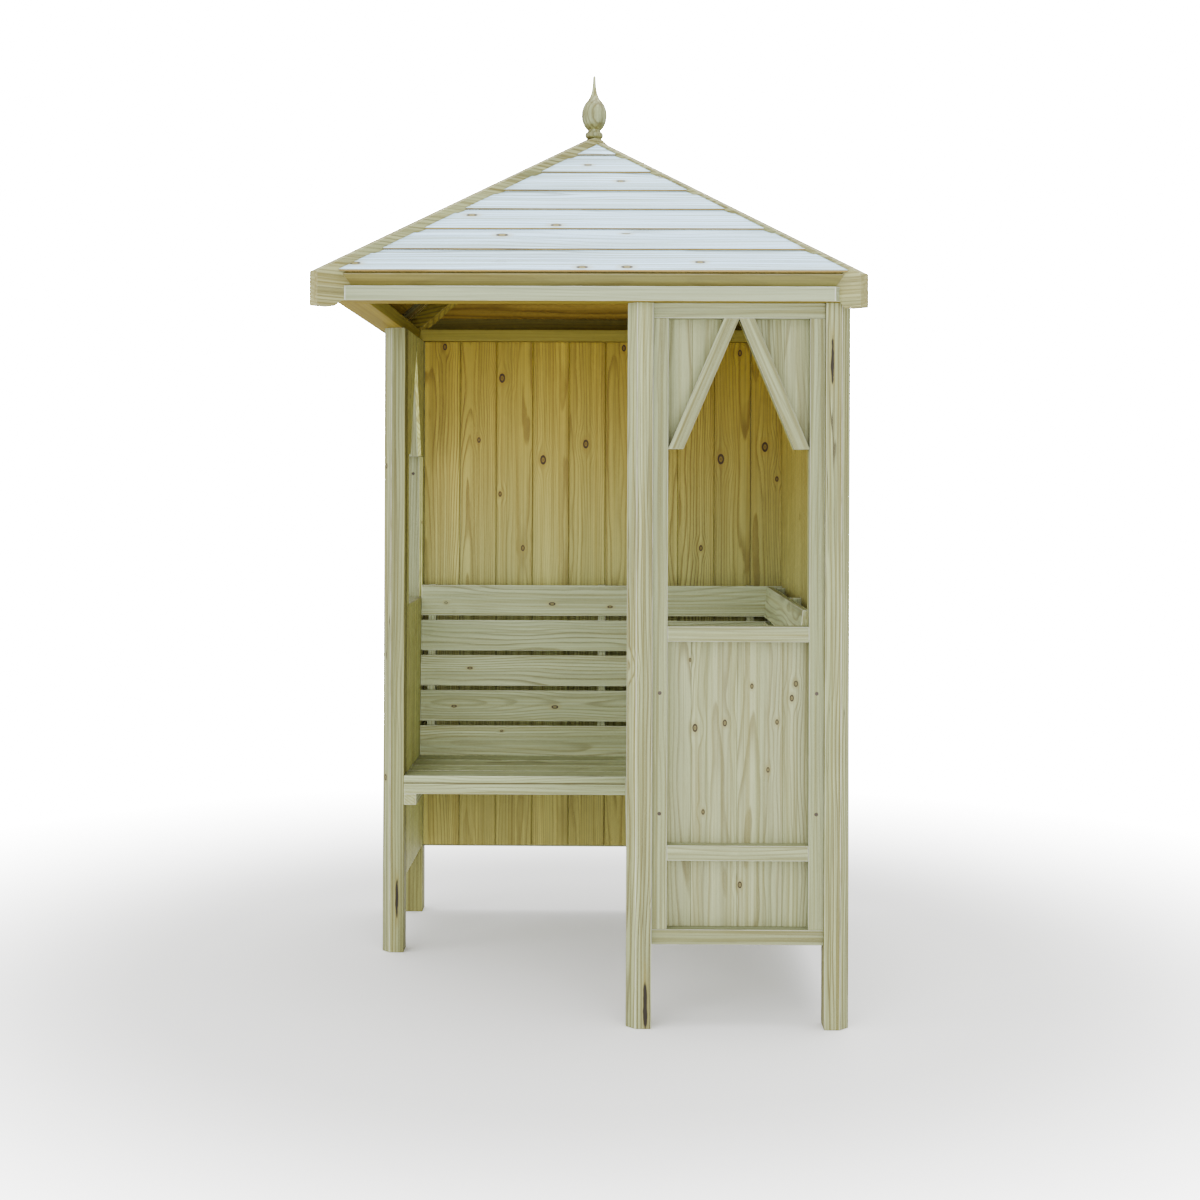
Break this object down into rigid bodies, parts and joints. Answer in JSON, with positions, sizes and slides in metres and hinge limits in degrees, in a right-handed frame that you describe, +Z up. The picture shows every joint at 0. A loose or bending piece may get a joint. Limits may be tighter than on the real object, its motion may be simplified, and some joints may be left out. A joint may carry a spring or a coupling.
{
  "type": "corner arbour",
  "caption": "Square timber corner arbour: lapped-board pyramid roof on hip rafters, turned finial, windowed narrow panels, boarded walls and an L-shaped slatted bench.",
  "frame": {"origin": "on the ground, under the point of the roof", "axes": "+Z up; the open entrance corner faces -X and -Y, the windowed panels are in the -Y and -X sides, and the seat backs stand at +Y and +X"},
  "size_m": [1.3032, 1.3032, 2.3795],
  "materials": {
    "post_pine": "planed pressure-treated pine, greenish and streaked",
    "frame_pine": "planed pressure-treated pine",
    "cladding_pine": "planed tongued and grooved pine, olive to honey",
    "roof_pine": "pale planed pine boards",
    "rafter_pine": "planed pressure-treated pine",
    "bench_pine": "planed pressure-treated pine, greenish",
    "screw_steel": "dulled zinc-plated steel"
  },
  "bodies": {
    "root": {"post_front_right": "post_pine", "post_front_mid": "post_pine", "post_left_mid": "post_pine", "post_back_left": "post_pine", "post_back_right": "post_pine", "front_stiles": "frame_pine", "front_bottom_rail": "frame_pine", "front_lower_rail": "frame_pine", "front_sill_rail": "frame_pine", "front_top_rail": "frame_pine", "front_window_braces": "frame_pine", "front_cladding": "cladding_pine", "left_stiles": "frame_pine", "left_bottom_rail": "frame_pine", "left_lower_rail": "frame_pine", "left_sill_rail": "frame_pine", "left_top_rail": "frame_pine", "left_window_braces": "frame_pine", "left_cladding": "cladding_pine", "back_stiles": "frame_pine", "back_rails": "frame_pine", "back_cladding": "cladding_pine", "right_stiles": "frame_pine", "right_rails": "frame_pine", "right_cladding": "cladding_pine", "plate_front": "frame_pine", "plate_right": "frame_pine", "plate_back": "frame_pine", "plate_left": "frame_pine", "eaves_front": "frame_pine", "eaves_right": "frame_pine", "eaves_back": "frame_pine", "eaves_left": "frame_pine", "hip_rafter_front_left": "rafter_pine", "hip_rafter_front_right": "rafter_pine", "hip_rafter_back_right": "rafter_pine", "hip_rafter_back_left": "rafter_pine", "roof_battens_front": "rafter_pine", "roof_battens_right": "rafter_pine", "roof_battens_back": "rafter_pine", "roof_battens_left": "rafter_pine", "roof_boards_front": "roof_pine", "roof_boards_right": "roof_pine", "roof_boards_back": "roof_pine", "roof_boards_left": "roof_pine", "finial": "post_pine", "seat_boards_back": "bench_pine", "seat_boards_right": "bench_pine", "seat_rails_back": "bench_pine", "seat_rails_right": "bench_pine", "seat_joists": "bench_pine", "seat_bearers": "bench_pine", "back_slats": "bench_pine", "right_slats": "bench_pine", "back_studs": "bench_pine", "right_studs": "bench_pine", "panel_screws": "screw_steel"}
  },
  "joints": []
}
